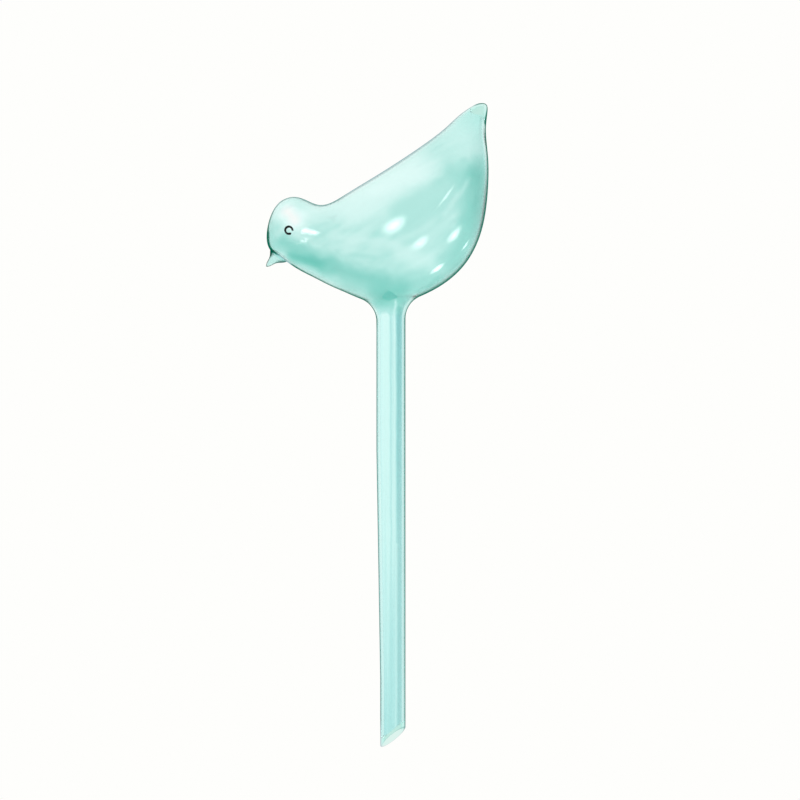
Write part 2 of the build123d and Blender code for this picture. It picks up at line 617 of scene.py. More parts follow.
        # Painted edge shade: a darker see-through edge colour that is mixed in at grazing angles in place
        # of the refraction there.
        line = add_node(tree, "Mix", (
            depths["outline"], linear(self.edge_shade_pale), linear(self.edge_shade_deep)),
            data_type="RGBA", clamp_factor=False)
        outline = add_node(tree, "BsdfTransparent", (line,))
        facing = add_node(tree, "LayerWeight").outputs["Facing"]
        turned = add_node(tree, "Math", (facing, depths["broad_edge_shade"]), operation="ADD")
        first, full = (add_node(tree, "Mix", (blown, *rims))
                       for rims in zip(self.drawn_rim, self.blown_rim))
        rim = add_node(tree, "MapRange", (turned, first, full), interpolation_type="SMOOTHSTEP")
        bore = add_node(tree, "Attribute", attribute_name=BORE).outputs["Fac"]
        outside = add_node(tree, "Math", (1.0, bore), operation="SUBTRACT")
        lined = add_node(tree, "Math", (rim, outside), operation="MULTIPLY")
        skin = add_node(tree, "MixShader", (lined, inner, outline))
        seat = add_node(tree, "Attribute", attribute_name=SEAT).outputs["Fac"]
        welded = add_node(tree, "Math", (seat, 0.0), operation="LESS_THAN")
        clear = add_node(tree, "BsdfTransparent")
        whole = add_node(tree, "MixShader", (welded, skin, clear))
        add_node(tree, "OutputMaterial", {"Surface": whole, "Volume": self.add_melt(tree)})
        return material

    def make_weld(self, name: str) -> Material:
        """Build the inside of a weld, where two pieces of glass have melted into one.

        Args:
            name: The material's name.

        Returns:
            The material, which lets light through unbent.
        """
        material = bpy.data.materials.new(name)
        tree = emptied(material)
        clear = add_node(tree, "BsdfTransparent")
        add_node(tree, "OutputMaterial", {"Surface": clear, "Volume": self.add_melt(tree)})
        return material


@dataclass(frozen=True)
class BlackEnamel:
    """Black glass enamel, painted by brush and fired on: glossy, with soft brush ridges."""

    colour: str = "#02100D"
    ior: float = 1.5
    roughness: float = 0.3
    specular_level: float = 0.2
    ridge_spacing: float = 0.4
    ridge_height: float = 0.05
    ridge_strength: float = 0.25

    def make(self, name: str) -> Material:
        """Build the enamel.

        Args:
            name: The material's name.

        Returns:
            The material.
        """
        material = bpy.data.materials.new(name)
        tree = emptied(material)
        place = add_node(tree, "TexCoord").outputs["Object"]
        ridges = add_node(tree, "TexNoise", {"Vector": place, "Scale": 1 / (self.ridge_spacing * MM)})
        bump = add_node(tree, "Bump", {
            "Height": ridges, "Strength": self.ridge_strength, "Distance": self.ridge_height * MM})
        paint = add_node(tree, "BsdfPrincipled", {
            "Base Color": linear(self.colour), "Roughness": self.roughness, "IOR": self.ior,
            "Specular IOR Level": self.specular_level, "Normal": bump})
        add_node(tree, "OutputMaterial", {"Surface": paint})
        return material


# Stations of the bird from breast to tail. Each has its point on the back and its point on the
# belly, as shares of the body's length from the stem's axis and of its height above the belly,
# then its width as a share of the body's width and the share of its height at its widest level.
STATIONS = (
    ((-0.553, 0.287), (-0.506, 0.240), 0.26, 0.50),
    ((-0.561, 0.344), (-0.429, 0.183), 0.42, 0.52),
    ((-0.546, 0.431), (-0.348, 0.136), 0.49, 0.54),
    ((-0.501, 0.510), (-0.280, 0.098), 0.55, 0.54),
    ((-0.424, 0.534), (-0.208, 0.063), 0.62, 0.50),
    ((-0.321, 0.495), (-0.113, 0.020), 0.75, 0.46),
    ((-0.203, 0.549), (-0.005, 0.000), 0.89, 0.44),
    ((-0.072, 0.637), (0.117, 0.035), 1.00, 0.43),
    ((0.050, 0.722), (0.221, 0.092), 1.02, 0.42),
    ((0.153, 0.799), (0.312, 0.173), 0.93, 0.42),
    ((0.237, 0.869), (0.377, 0.277), 0.78, 0.43),
    ((0.302, 0.934), (0.420, 0.416), 0.59, 0.45),
    ((0.350, 0.973), (0.438, 0.575), 0.41, 0.48),
    ((0.384, 0.994), (0.438, 0.738), 0.26, 0.50),
    ((0.411, 1.000), (0.429, 0.882), 0.15, 0.50),
)


@dataclass
class BlownBird:
    """The hollow bird: its outer skin, its cavity and the flared neck that joins them."""

    length: float = 92.9
    height: float = 84.6
    width: float = 46.0
    wall: float = 1.2
    thin_wall: float = 0.32
    neck_length: float = 10.5
    flare: float = 10.0
    neck_radius: float = 6.1
    neck_wall: float = 1.5
    breast_end: tuple[float, float] = (-0.536, 0.261)
    tail_end: tuple[float, float] = (0.436, 0.979)
    tip_length: float = 4.2
    tip_degrees: float = 45.0
    cavity_end: float = 0.965
    cavity_cap: tuple[float, float, float] = (0.36, 0.0, 3.0)
    tail_span: tuple[float, float] = (0.66, 0.9)
    neck_span: tuple[float, float] = (0.24, 0.46)
    rump_span: tuple[float, float] = (0.58, 0.75)
    rump_loss: float = 0.5
    patch_reach: float = 19.5
    guesses: int = 400
    guess_span: tuple[int, int] = (60, 330)
    rings: int = 170
    turns: int = 144
    patch_turns: int = 40
    patch_rings: int = 8
    weld_rings: int = 4
    flare_rings: int = 18
    cap_rings: int = 7
    form: Curve = field(init=False)
    end: float = field(init=False)
    corner: tuple[int, int] = field(init=False)

    def __post_init__(self) -> None:
        """Fit the smooth line through the stations, and through both ends to the other side.

        Its rows hold the back's point, the belly's point, half the width and the widest level.
        The corners are the rings at both ends of the patch round the neck's hole.
        """
        rows = [(*self.side(back), *self.side(belly), width * self.width / 2, level)
                for back, belly, width, level in STATIONS]
        ends = [(*self.side(end), *self.side(end), 0.0, 0.5) for end in (self.breast_end, self.tail_end)]
        rows = np.array([ends[0], *rows, ends[1]])
        turned = np.array([0, 0, 0, 0, 0, 1]) + rows[:, [2, 3, 0, 1, 4, 5]] * [1, 1, 1, 1, -1, -1]
        spans = np.hypot(*np.diff(rows[:, :2], axis=0).T) + np.hypot(*np.diff(rows[:, 2:4], axis=0).T)
        spans = (spans + np.abs(np.diff(rows[:, 4]))) / 3
        places = np.concatenate([[0], np.cumsum(spans)])
        before, after = slice(3, 0, -1), slice(-2, -5, -1)
        self.end = places[-1]
        self.form = Curve(
            np.concatenate([-places[before], places, 2 * self.end - places[after]]),
            np.concatenate([turned[before], rows, turned[after]]))
        belly = self.form.at(np.linspace(0, self.end, self.rings + 1))[:, 2]
        self.corner = (int(np.argmin(np.abs(belly + self.patch_reach))),
                       int(np.argmin(np.abs(belly - self.patch_reach))))

    @property
    def neck_turns(self) -> int:
        """The number of points round the neck, which the patch on the belly sets."""
        return 2 * (self.corner[1] - self.corner[0] + self.patch_turns)

    @property
    def neck_start(self) -> float:
        """The angle of the neck's first point, so that the points are alike on both sides."""
        return math.pi * (1.5 - (self.corner[1] - self.corner[0]) / self.neck_turns)

    def side(self, share: tuple[float, float]) -> tuple[float, float]:
        """A point of the middle plane, in millimetres, from its shares of length and height."""
        return self.length * share[0], self.neck_length + self.height * share[1]

    def skin(self, line: Array, turn: Array) -> Array:
        """Read the outer form.

        Args:
            line: How far along the body, from the breast, in the form's own measure.
            turn: The angle round the body in radians, zero on the back.

        Returns:
            Points in millimetres.
        """
        read = self.form.at(line.ravel()).reshape(*line.shape, 6)
        back, belly = read[..., 0:2], read[..., 2:4]
        rise = back - belly
        level = read[..., 5:6]
        up = np.cos(turn)[..., None]
        middle = belly + rise * level + rise * up * np.where(up > 0, 1 - level, level)
        return np.stack([middle[..., 0], np.sin(turn) * read[..., 4], middle[..., 1]], axis=-1)

    def outward(self, line: Array, turn: Array) -> Array:
        """Work out the outer form's direction outwards.

        Args:
            line: How far along the body, in the form's own measure.
            turn: The angle round the body in radians.

        Returns:
            Unit vectors.
        """
        line = np.clip(line, 5 * ALONG, self.end - 5 * ALONG)
        along = self.skin(line + 2 * ALONG, turn) - self.skin(line - 2 * ALONG, turn)
        around = self.skin(line, turn + 2 * ROUND) - self.skin(line, turn - 2 * ROUND)
        square = np.cross(along, around)
        return square / np.linalg.norm(square, axis=-1, keepdims=True)

    def surface(self, line: Array, turn: Array, inset: float) -> Array:
        """Read the outer form or the cavity's form.

        The wall is thin on the sides. It grows to the inset towards the tail, and on the underside
        from the breast to the neck, and the rump loses a share of that growth.

        Args:
            line: How far along the body, in the form's own measure.
            turn: The angle round the body in radians.
            inset: Zero for the outer form, or the wall's thickness for the cavity.

        Returns:
            Points in millimetres.
        """
        points = self.skin(line, turn)
        if not inset:
            return points
        tail, neck, rump = (smoothstep(line / self.end, span)
                            for span in (self.tail_span, self.neck_span, self.rump_span))
        under = (0.5 - 0.5 * np.cos(turn)) ** 2
        thick = 1 - (1 - tail) * (1 - under * neck * (1 - self.rump_loss * rump))
        wall = self.thin_wall + (inset - self.thin_wall) * thick
        return points - self.outward(line, turn) * wall[..., None]

    def below(self, reach: Array, angle: Array, inset: float) -> tuple[Array, Array, Array]:
        """Find where a form's underside stands over points round the stem's axis.

        Args:
            reach: Distances from the axis.
            angle: Angles round the axis.
            inset: Zero for the outer form, or the wall's thickness for the cavity.

        Returns:
            The line and turn of each point on the form, and its height.
        """
        goal = round_axis(reach, angle, reach)[..., :2]
        lines = np.linspace(0, self.end, self.guesses)[slice(*self.guess_span)]
        line = np.interp(goal[..., 0], self.form.at(lines)[:, 2], lines)
        turn = math.pi - goal[..., 1] / (self.width / 2)
        for _ in range(NEARER):
            here = self.surface(line, turn, inset)
            miss = goal - here[..., :2]
            down_line = (self.surface(line + ALONG, turn, inset) - here)[..., :2] / ALONG
            down_turn = (self.surface(line, turn + ROUND, inset) - here)[..., :2] / ROUND
            area = down_line[..., 0] * down_turn[..., 1] - down_line[..., 1] * down_turn[..., 0]
            line = line + (miss[..., 0] * down_turn[..., 1] - miss[..., 1] * down_turn[..., 0]) / area
            turn = turn + (miss[..., 1] * down_line[..., 0] - miss[..., 0] * down_line[..., 1]) / area
        return line, turn, self.surface(line, turn, inset)[..., 2]

    def add_neck(self, work: Patchwork, radius: float, flare: float, inset: float,
                 rim: tuple[Array, Array, Array]) -> Array:
        """Add the flare from the stem's weld up to the hole in a form's underside.

        Args:
            work: The patchwork to add to.
            radius: The neck's radius.
            flare: The radius of the flare.
            inset: Zero for the outer form, or the wall's thickness for the cavity.
            rim: The lines, turns and point indices of the hole's edge, point by point.

        Returns:
            The point indices of the ring at the weld.
        """
        angle = self.neck_start + 2 * math.pi * np.arange(self.neck_turns) / self.neck_turns
        near, far = np.full_like(angle, radius), np.full_like(angle, radius + flare)
        for _ in range(HALVINGS):
            reach = (near + far) / 2
            height = self.below(reach, angle, inset)[2]
            slope = (self.below(reach + ALONG, angle, inset)[2] - height) / ALONG
            past = reach + flare * slope / np.hypot(slope, 1) > radius + flare
            far, near = np.where(past, reach, far), np.where(past, near, reach)
        line, turn, height = self.below(reach, angle, inset)
        level = height - flare / np.hypot(slope, 1)
        rows = [round_axis(radius, angle, level * share) for share in np.linspace(0, 1, self.weld_rings)]
        sweep = np.pi - np.arctan2(1, -slope)
        for share in np.arange(1, self.flare_rings + 1) / self.flare_rings:
            bend = np.pi - sweep * share
            rows.append(round_axis(radius + flare + flare * np.cos(bend), angle,
                                   level + flare * np.sin(bend)))
        for share in np.arange(1, self.patch_rings) / self.patch_rings:
            rows.append(self.surface(line * (1 - share) + rim[0] * share,
                                     turn * (1 - share) + rim[1] * share, inset))
        places = work.add_points(np.stack(rows))
        work.add_grid(np.concatenate([places, rim[2][None]]))
        return places[0]

    def add_form(self, work: Patchwork, inset: float, last: float) -> tuple[Array, Array]:
        """Add the outer form or the cavity, with a hole in its underside for the neck.

        Args:
            work: The patchwork to add to.
            inset: Zero for the outer form, or the wall's thickness for the cavity.
            last: How far along the body the form's last full ring lies, as a share.

        Returns:
            The rim of the hole as rows of line, turn and point index, and the last ring's indices.
        """
        lines = np.linspace(0, self.end, self.rings + 1)[1:]
        lines = lines[lines <= self.end * last]
        turns = 2 * math.pi * np.arange(self.turns) / self.turns
        line, turn = np.meshgrid(lines, turns, indexing="ij")
        places = work.add_points(self.surface(line, turn, inset))
        first, second = self.corner[0] - 1, self.corner[1] - 1
        low, high = (self.turns - self.patch_turns) // 2, (self.turns + self.patch_turns) // 2
        keep = np.ones((len(lines) - 1, self.turns), bool)
        keep[first:second, low:high] = False
        work.add_grid(places, keep)
        work.add_fan(places[0], self.surface(np.array([0.0]), np.array([0.0]), inset))
        edge = ([(row, high) for row in range(first, second)]
                + [(second, column) for column in range(high, low, -1)]
                + [(row, low) for row in range(second, first, -1)]
                + [(first, column) for column in range(low, high)])
        rows, columns = np.array(edge).T
        return (line[rows, columns], turn[rows, columns], places[rows, columns]), places[-1]

    def skin_mesh(self) -> Mesh:
        """Build the outer form with its neck, open at the weld.

        Returns:
            The mesh in metres.
        """
        work = Patchwork()
        rim, last = self.add_form(work, 0, (self.rings - 0.5) / self.rings)
        work.add_fan(last, self.surface(np.array([self.end]), np.array([0.0]), 0))
        self.add_neck(work, self.neck_radius, self.flare, 0, rim)
        return work.mesh()

    def cavity_mesh(self) -> Mesh:
        """Build the cavity with its neck, open at the weld, and rounded off before the tail's tip.

        Returns:
            The mesh in metres.
        """
        work = Patchwork()
        rim, last = self.add_form(work, self.wall, self.cavity_end)
        ring = np.concatenate(work.points)[last]
        centre = ring.mean(axis=0)
        cap = np.array(self.cavity_cap)
        rows = [centre + (ring - centre) * math.cos(bend) + cap * math.sin(bend)
                for bend in np.linspace(0, math.pi / 2, self.cap_rings)[1:-1]]
        places = work.add_points(np.stack(rows))
        work.add_grid(np.concatenate([last[None], places]))
        work.add_fan(places[-1], centre + cap)
        self.add_neck(work, self.neck_radius - self.neck_wall, self.flare + self.wall, self.wall, rim)
        return work.mesh()

    def tip_plane(self) -> tuple[Vector, Vector]:
        """Where the tail's solid tip begins.

        Returns:
            A point of the plane in metres, and the plane's direction.
        """
        slope = math.radians(self.tip_degrees)
        way = Vector((math.cos(slope), 0, math.sin(slope)))
        end = self.side(self.tail_end)
        return (Vector((end[0], 0, end[1])) - way * self.tip_length) * MM, way

    def whole(self) -> Mesh:
        """Build the outer form and the cavity as one skin, closed at the weld by a ring.

        Returns:
            The mesh in metres, with each point's own outward direction kept on it.
        """
        whole = bmesh.new()
        for made, hollow in ((self.skin_mesh(), False), (self.cavity_mesh(), True)):
            mark_bore(made, lambda place, hollow=hollow: hollow)
            joined(whole, written(made, "wall"))
        rims = sorted((point for point in whole.verts if point.is_boundary),
                      key=lambda point: math.atan2(point.co.y, point.co.x))
        middle = (self.neck_radius - self.neck_wall / 2) * MM
        outer = [point for point in rims if point.co.xy.length > middle]
        inner = [point for point in rims if point.co.xy.length <= middle]
        for place in range(len(outer)):
            ring = (outer[place - 1], outer[place], inner[place], inner[place - 1])
            whole.faces.new(ring).material_index = Joint.WELD.value
        turn_out(whole)
        keep_directions(whole)
        return whole

    def build(self) -> tuple[Piece, Piece]:
        """Build the shell and the tail's tip.

        Returns:
            The shell and the tip, each closed, with their welds' faces marked.
        """
        point, way = self.tip_plane()
        pieces = []
        for name, cleared in (("bird_shell", "clear_outer"), ("tail_tip_glass", "clear_inner")):
            made = self.whole()
            cut = bmesh.ops.bisect_plane(made, geom=[*made.verts, *made.edges, *made.faces],
                                         plane_co=point, plane_no=way, **{cleared: True})
            edges = [item for item in cut["geom_cut"] if isinstance(item, bmesh.types.BMEdge)]
            filled = bmesh.ops.triangle_fill(made, edges=edges, use_beauty=True)
            for item in filled["geom"]:
                if isinstance(item, bmesh.types.BMFace):
                    item.material_index = Joint.WELD.value
            turn_out(made)
            pieces.append(finished(made, name))
        return pieces[0], pieces[1]


class Inputs(Enum):
    """The socket types of the trees' named inputs."""

    SHAPE = "NodeSocketGeometry"
    LENGTH = "NodeSocketFloat"
    COUNT = "NodeSocketInt"
    FINISH = "NodeSocketMaterial"
    TARGET = "NodeSocketObject"


def new_tree(name: str, inputs: dict[Inputs, tuple[str, ...]]) -> tuple[Tree, dict[str, Socket]]:
    """Start a geometry tree with named inputs.

    Args:
        name: The tree's name.
        inputs: The names of the inputs of each type.

    Returns:
        The tree and the outputs that give its inputs.
    """
    tree = bpy.data.node_groups.new(name, "GeometryNodeTree")
    for kind, labels in inputs.items():
        for label in labels:
            tree.interface.new_socket(name=label, in_out="INPUT", socket_type=kind.value)
    tree.interface.new_socket(name="Shape", in_out="OUTPUT", socket_type=Inputs.SHAPE.value)
    return tree, dict(add_node(tree, "NodeGroupInput").outputs.items())


def end_tree(tree: Tree, shape: bpy.types.Node, finish: Socket) -> Tree:
    """End a geometry tree in a real mesh with its finish.

    Args:
        tree: The tree.
        shape: The node that gives the shape.
        finish: The output that gives the material.

    Returns:
        The tree.
    """
    real = add_node(tree, "RealizeInstances", (shape,))
    dressed = add_node(tree, "SetMaterial", {"Geometry": real, "Material": finish})
    add_node(tree, "NodeGroupOutput", {"Shape": dressed})
    return tree


def grown(seed: Piece, tree: Tree, values: dict[str, Any]) -> Mesh:
    """Run a geometry tree on an object and read the result.

    Args:
        seed: The object that carries the tree, which is removed.
        tree: The geometry tree.
        values: The value of each named input.

    Returns:
        The result as a plain mesh, to be edited.
    """
    modifier = seed.modifiers.new(tree.name, "NODES")
    modifier.node_group = tree
    for item in tree.interface.items_tree:
        if item.in_out == "INPUT" and item.name in values:
            modifier[item.identifier] = values[item.name]
    read = seed.evaluated_get(bpy.context.evaluated_depsgraph_get())
    data = bpy.data.meshes.new_from_object(read)
    seed.modifiers.remove(modifier)
    bpy.data.objects.remove(seed)
    return joined(bmesh.new(), data)


@dataclass
class DrawnStem:
    """The drawn tube: straight, drawn in along its front, and cut slantwise at its mouth."""

    radius: float = 6.1
    mouth_radius: float = 5.3
    wall: float = 1.5
    straight: float = 50.3
    taper: float = 96.4
    foot: float = 28.4
    slant_degrees: float = 36.9
    side_slant_degrees: float = 18.0
    rim_round: float = 0.45
    slant_length: float = 11.0
    rings: tuple[int, int, int] = (17, 33, 15)
    corner_rings: int = 7

    @property
    def slopes(self) -> tuple[float, float]:
        """The mouth's slopes in the picture's plane and across it."""
        return math.tan(math.radians(self.slant_degrees)), math.tan(math.radians(self.side_slant_degrees))

    @property
    def draw(self) -> float:
        """How far the radius draws in, and the axis moves back."""
        return self.radius - self.mouth_radius

    def profile(self) -> Array:
        """The wall's section before it is drawn in and cut.

        Returns:
            Distances from the axis and heights, down the outside, round the rim and up the bore.
        """
        bottom = self.mouth_radius * math.hypot(*self.slopes) - self.straight - self.taper - self.foot
        bend_start = bottom + self.rim_round
        stops = (0, -self.straight, -self.straight - self.taper, bend_start)
        levels = np.concatenate([np.linspace(top, low, count, endpoint=False)
                                 for top, low, count in zip(stops, stops[1:], self.rings)] + [[bend_start]])
        outside = np.stack([np.full_like(levels, self.radius), levels], axis=-1)
        inside = np.stack([np.full_like(levels, self.radius - self.wall), levels], axis=-1)[::-1]
        bend = np.linspace(0, math.pi / 2, self.corner_rings)[1:]
        corner = np.stack([np.cos(bend) - 1, -np.sin(bend)], axis=-1) * self.rim_round
        outer_corner = outside[-1] + corner
        inner_corner = inside[0] + corner * [-1, 1]
        return np.concatenate([outside, outer_corner, inner_corner[::-1], inside, outside[:1]])

    def tree(self) -> Tree:
        """Build the tree that turns the section round the axis, draws it in and slants its mouth.

        Returns:
            The geometry tree.
        """
        tree, given = new_tree("drawn_tube", {
            Inputs.SHAPE: ("Section",), Inputs.COUNT: ("Turn Segments",), Inputs.FINISH: ("Glass",),
            Inputs.LENGTH: ("Start Angle", "Draw In", "Straight Length", "Taper Length", "Slant Start",
                            "Slant Length", "Mouth Slope", "Side Slope")})
        rows = add_node(tree, "AttributeDomainSize", {"Geometry": given["Section"]})
        columns = add_node(tree, "Math", (given["Turn Segments"], 1.0), operation="ADD")
        grid = add_node(tree, "MeshGrid", {"Vertices X": columns, "Vertices Y": rows})
        index = add_node(tree, "InputIndex")
        cell = add_node(tree, "Math", (index, 0.5), operation="ADD")
        turned = add_node(tree, "Math", (cell, rows), operation="DIVIDE")
        column = add_node(tree, "Math", (turned,), operation="FLOOR")
        before = add_node(tree, "Math", (column, rows), operation="MULTIPLY")
        row = add_node(tree, "Math", (index, before), operation="SUBTRACT")
        spot = add_node(tree, "InputPosition")
        sampled = add_node(tree, "SampleIndex", {
            "Geometry": given["Section"], "Value": spot, "Index": row}, data_type="FLOAT_VECTOR")
        out, _, level = add_node(tree, "SeparateXYZ", (sampled,)).outputs
        depth = add_node(tree, "Math", (level, -1.0), operation="MULTIPLY")
        ramps = []
        for start, length in (("Straight Length", "Taper Length"), ("Slant Start", "Slant Length")):
            past = add_node(tree, "Math", (depth, given[start]), operation="SUBTRACT")
            share = add_node(tree, "Math", (past, given[length]), operation="DIVIDE")
            ramps.append(add_node(tree, "Clamp", (share,)))
        drawn = add_node(tree, "Math", (given["Draw In"], ramps[0]), operation="MULTIPLY")
        reach = add_node(tree, "Math", (out, drawn), operation="SUBTRACT")
        step = add_node(tree, "Math", (2 * math.pi, given["Turn Segments"]), operation="DIVIDE")
        turn = add_node(tree, "Math", (column, step), operation="MULTIPLY")
        angle = add_node(tree, "Math", (given["Start Angle"], turn), operation="ADD")
        across, deep = (add_node(tree, "Math", (
            reach, add_node(tree, "Math", (angle,), operation=wave)), operation="MULTIPLY")
            for wave in ("COSINE", "SINE"))
        slants = [add_node(tree, "Math", (way, given[slope]), operation="MULTIPLY")
                  for way, slope in ((across, "Mouth Slope"), (deep, "Side Slope"))]
        slant = add_node(tree, "Math", tuple(slants), operation="ADD")
        lift = add_node(tree, "Math", (slant, ramps[1]), operation="MULTIPLY")
        moved = add_node(tree, "Math", (across, drawn), operation="ADD")
        lifted = add_node(tree, "Math", (level, lift), operation="ADD")
        placed = add_node(tree, "CombineXYZ", (moved, deep, lifted))
        laid = add_node(tree, "SetPosition", {"Geometry": grid, "Position": placed})
        merged = add_node(tree, "MergeByDistance", {"Geometry": laid, "Distance": SAME_LEVEL})
        return end_tree(tree, merged, given["Glass"])

    def in_bore(self, place: Vector) -> bool:
        """Tell whether a place lies nearer to the tube's bore than to its outside.

        Args:
            place: The place, in metres.

        Returns:
            Whether it does.
        """
        drawn = self.draw * min(max((-place.z / MM - self.straight) / self.taper, 0), 1)
        return math.hypot(place.x / MM - drawn, place.y / MM) < self.radius - drawn - self.wall / 2

    def build(self, turns: int, start: float, glass: Material) -> Piece:
        """Build the stem with its first ring where the bird's neck ends.

        Args:
            turns: The number of points round the neck.
            start: The angle of the neck's first point.
            glass: The glass.

        Returns:
            The stem, closed, with its weld's faces marked.
        """
        section = self.profile() * MM
        data = bpy.data.meshes.new("tube_section")
        data.from_pydata([(out, 0, level) for out, level in section.tolist()],
                         [(place, place + 1) for place in range(len(section) - 1)], [])
        lowest = -section[:, 1].min()
        made = grown(add_object("tube_section", data), self.tree(), {
            "Turn Segments": turns, "Start Angle": start, "Draw In": self.draw * MM,
            "Straight Length": self.straight * MM, "Taper Length": self.taper * MM,
            "Slant Start": lowest - self.slant_length * MM, "Slant Length": self.slant_length * MM,
            "Mouth Slope": self.slopes[0], "Side Slope": self.slopes[1], "Glass": glass})
        for face in made.faces:
            top = max(abs(point.co.z) for point in face.verts) < SAME_LEVEL
            face.material_index = (Joint.WELD if top else Joint.SKIN).value
        mark_bore(made, self.in_bore)
        turn_out(made)
        keep_directions(made)
        return finished(made, "drawn_stem")


@dataclass
class PulledBeak:
    """The solid beak, pulled from a hot bit of glass and seated on the head."""

    length: float = 6.2
    root_height: float = 7.8
    root_width: float = 6.4
    degrees: float = 45.0
    root: tuple[float, float] = (-0.516, 0.241)
    sections: tuple[tuple[float, float], ...] = (
        (1.40, 1.30), (1.00, 0.98), (0.72, 0.58), (0.36, 0.33), (0.06, 0.09))
    seat_start: float = 0.5
    sink: float = 0.02
    reach: float = 1.35
    tip_crowding: float = 1.6
    skin_crowding: float = 1.3
    probe_start: float = 8.0
    probe_length: float = 20.0
    bubble_wall: float = 0.5
    bubble_start: float = 0.75
    turns: int = 64
    rings: int = 26
    root_rings: int = 8

    def shape(self) -> Curve:
        """Fit the line that gives the beak's size, as a share of its root, from tip to root."""
        return Curve(np.array([0.0, *[share for share, _ in self.sections[::-1]]]),
                     np.array([[0.0], *[[size] for _, size in self.sections[::-1]]]))

    def axes(self, bird: BlownBird) -> tuple[Array, Array, Array]:
        """Work out how the beak lies.

        Args:
            bird: The bird that carries it.

        Returns:
            The tip in millimetres, the way from root to tip, and the way up across it.
        """
        slope = math.radians(self.degrees)
        way = np.array([-math.cos(slope), 0, -math.sin(slope)])
        middle = bird.side(self.root)
        tip = np.array([middle[0], 0, middle[1]]) + way * self.length
        return tip, way, np.array([-way[2], 0, way[0]])

    def mark_seat(self, bird: BlownBird, shell: Piece) -> None:
        """Mark on the shell where the beak has melted into it.

        Args:
            bird: The bird that carries the beak.
            shell: The bird's shell, which gets an attribute that is below zero under the beak.
        """
        tip, way, up = self.axes(bird)
        points = np.array([point.co for point in shell.data.vertices]) / MM - tip
        share = -points @ way / self.length
        last = self.sections[0][0]
        size = self.shape().at(np.clip(share, 0, last))[:, 0]
        reach = np.hypot(points @ up / (self.root_height / 2), points[:, 1] / (self.root_width / 2))
        away = np.where((share > self.seat_start) & (share < last), reach - size, 1.0)
        seat = shell.data.attributes.new(SEAT, "FLOAT", "POINT")
        seat.data.foreach_set("value", np.clip(away, -1, 1).astype(np.float32))

    def on_head(self, point: Array, way: Array, head: BVHTree) -> Array:
        """Move a point along the beak onto the head, and let it sink in a little.

        Args:
            point: The point in millimetres.
            way: The way from root to tip.
            head: The bird's outer skin.

        Returns:
            The moved point, or the point itself where it misses the head.
        """
        start = Vector((point + way * self.probe_start) * MM)
        hit = head.ray_cast(start, Vector(-way), self.probe_length * MM)[0]
        return point if hit is None else np.array(hit) / MM - way * self.sink

    def seated(self, bird: BlownBird, head: BVHTree) -> Array:
        """Lay the beak's outside from its tip to the head, along lines that end on the head.

        Args:
            bird: The bird that carries it.
            head: The bird's outer skin.

        Returns:
            Rings of points in millimetres, from tip to root.
        """
        tip, way, up = self.axes(bird)
        turns = 2 * math.pi * np.arange(self.turns) / self.turns
        shares = (np.linspace(0, 1, self.rings) ** self.tip_crowding)[1:] * self.reach
        flat = (np.outer(np.sin(turns), np.array([0, 1, 0])) * self.root_width
                + np.outer(np.cos(turns), up) * self.root_height)
        rings = np.stack([tip - way * self.length * share + flat * float(size) / 2
                          for share, size in zip(shares, self.shape().at(shares)[:, 0])])
        seated = np.empty_like(rings)
        for column, path in enumerate(rings.swapaxes(0, 1)):
            stop, past = len(path) - 1, 0.0
            for place in range(len(path) - 1):
                run = Vector((path[place + 1] - path[place]) * MM)
                hit = head.ray_cast(Vector(path[place] * MM), run.normalized(), run.length)[0]
                if hit is not None:
                    stop, past = place, np.linalg.norm(np.array(hit) / MM - path[place])
                    break
            lengths = np.concatenate([[0], np.cumsum(np.linalg.norm(np.diff(path, axis=0), axis=1))])
            wanted = ((lengths[stop] + past + self.sink)
                      * np.linspace(0, 1, self.rings)[1:] ** self.skin_crowding)
            seated[:, column] = np.stack([np.interp(wanted, lengths, line) for line in path.T], axis=-1)
        return seated

    def build(self, bird: BlownBird, head: BVHTree) -> Piece:
        """Build the beak so that its root follows the head.

        Args:
            bird: The bird that carries it.
            head: The bird's outer skin, to seat the root on.

        Returns:
            The beak, closed.
        """
        tip, way, _ = self.axes(bird)
        skin = self.seated(bird, head)
        work = Patchwork()
        places = work.add_points(skin)
        work.add_grid(places)
        work.add_fan(places[0], tip)
        centre = skin[-1].mean(axis=0)
        root = np.stack([[self.on_head(point, way, head) for point in centre + (skin[-1] - centre) * share]
                         for share in np.linspace(1, 0, self.root_rings)[1:-1]])
        inner = work.add_points(root)
        work.add_grid(np.concatenate([places[-1:], inner]))
        work.add_fan(inner[-1], self.on_head(centre, way, head))
        made = work.mesh()
        turn_out(made)
        self.add_bubble(made, skin, np.concatenate([skin[-1:], root]), way)
        seats = {Vector(point * MM).to_tuple(SAME_DIGITS) for point in root.reshape(-1, 3)}
        for face in made.faces:
            if any(point.co.to_tuple(SAME_DIGITS) in seats for point in face.verts):
                face.material_index = Joint.WELD.value
        keep_directions(made)
        return finished(made, "pulled_beak")

